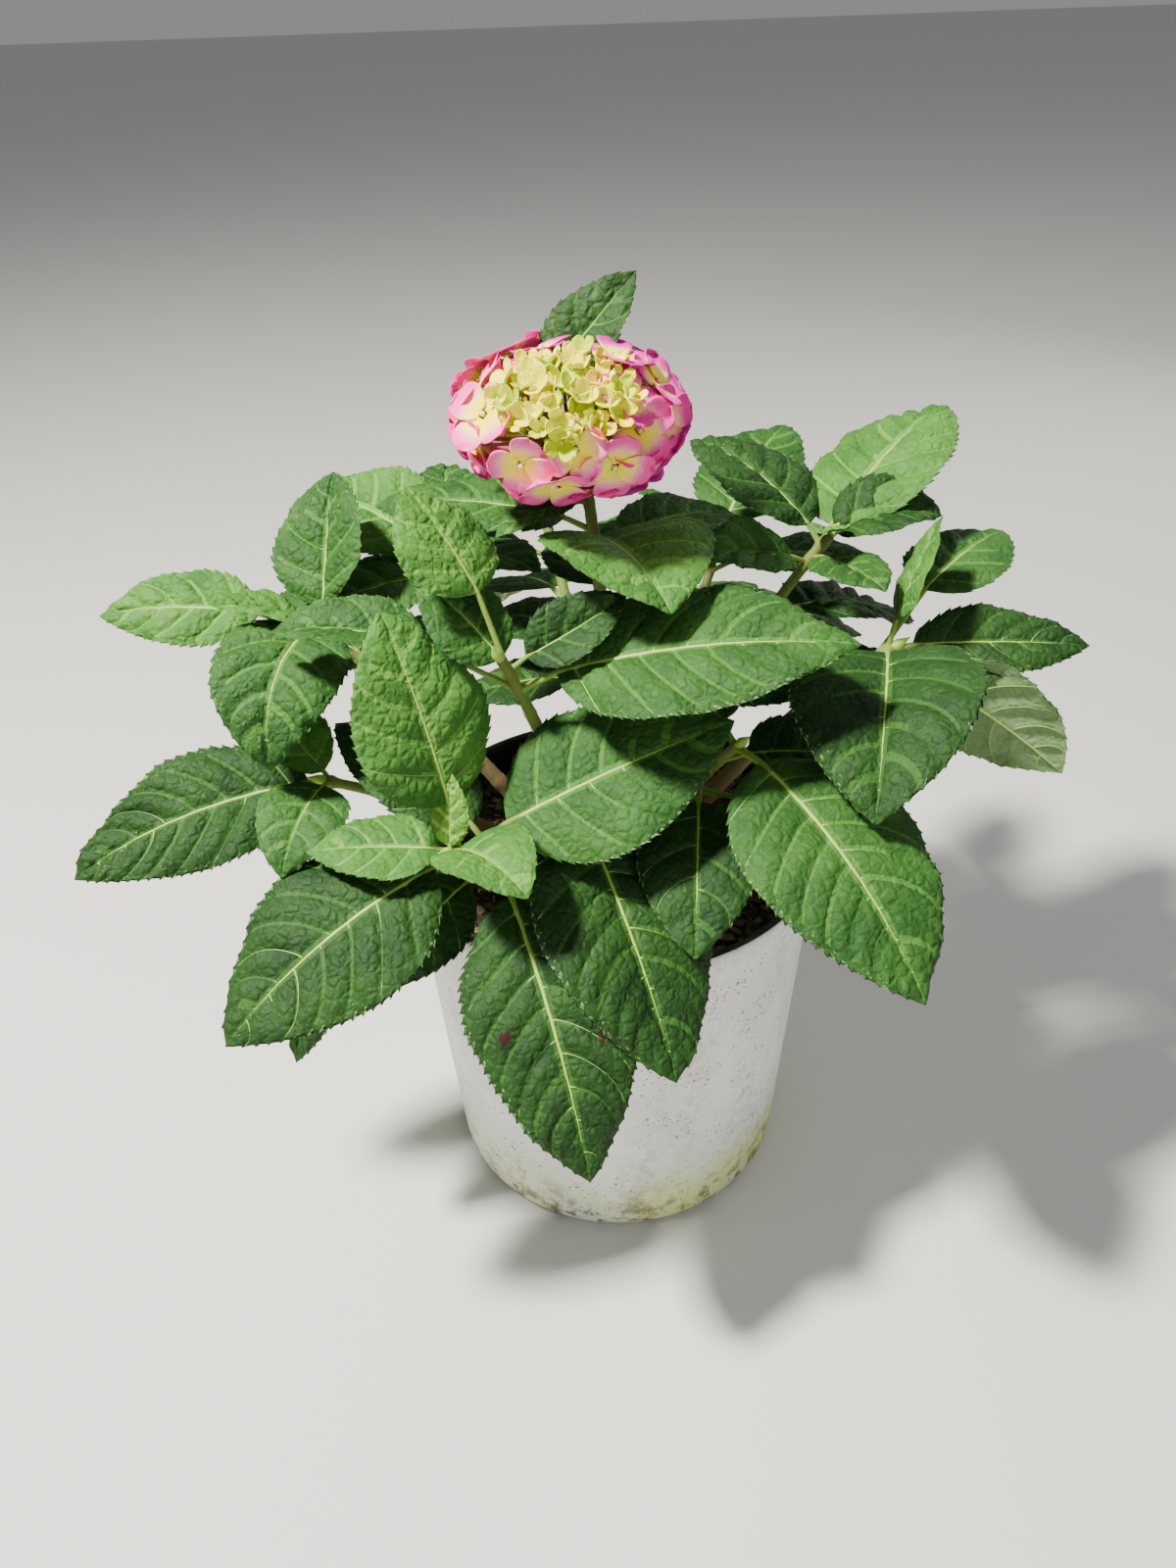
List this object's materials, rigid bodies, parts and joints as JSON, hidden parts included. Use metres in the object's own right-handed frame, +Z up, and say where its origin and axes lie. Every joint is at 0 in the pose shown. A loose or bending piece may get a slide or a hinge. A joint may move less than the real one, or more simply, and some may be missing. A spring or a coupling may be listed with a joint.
{
  "type": "potted hydrangea shrub",
  "caption": "Young leafy shrub with large toothed leaves and one round flower head, in a round tapered nursery pot filled with potting mix.",
  "frame": {"origin": "centre of the pot's flat underside", "axes": "+Z up; -Y is the front, the side the picture was taken from; +X is to the right seen from the front"},
  "size_m": [0.4861, 0.3834, 0.4919],
  "materials": {
    "pot": "white outside, with dust, splashed soil and a faint green tint near the foot; black inside",
    "mix": "damp dark bark and peat mix, rough",
    "cane": "green-brown young canes with small dark specks",
    "leaf": "mid green, quilted between pale veins, duller underneath",
    "flower": "pink petals with cream and yellow-green middles"
  },
  "bodies": {
    "root": {"pot": "pot", "potting_mix": "mix", "cane_flower": "cane", "foliage_flower": "leaf", "cane_front": "cane", "foliage_front": "leaf", "cane_low_front": "cane", "foliage_low_front": "leaf", "cane_left": "cane", "foliage_left": "leaf", "cane_low_left": "cane", "foliage_low_left": "leaf", "cane_right": "cane", "foliage_right": "leaf", "cane_low_right": "cane", "foliage_low_right": "leaf", "cane_back_right": "cane", "foliage_back_right": "leaf", "cane_back_left": "cane", "foliage_back_left": "leaf", "cane_rear_left": "cane", "foliage_rear_left": "leaf", "cane_rear_right": "cane", "foliage_rear_right": "leaf", "flower_head": "flower"}
  },
  "joints": []
}
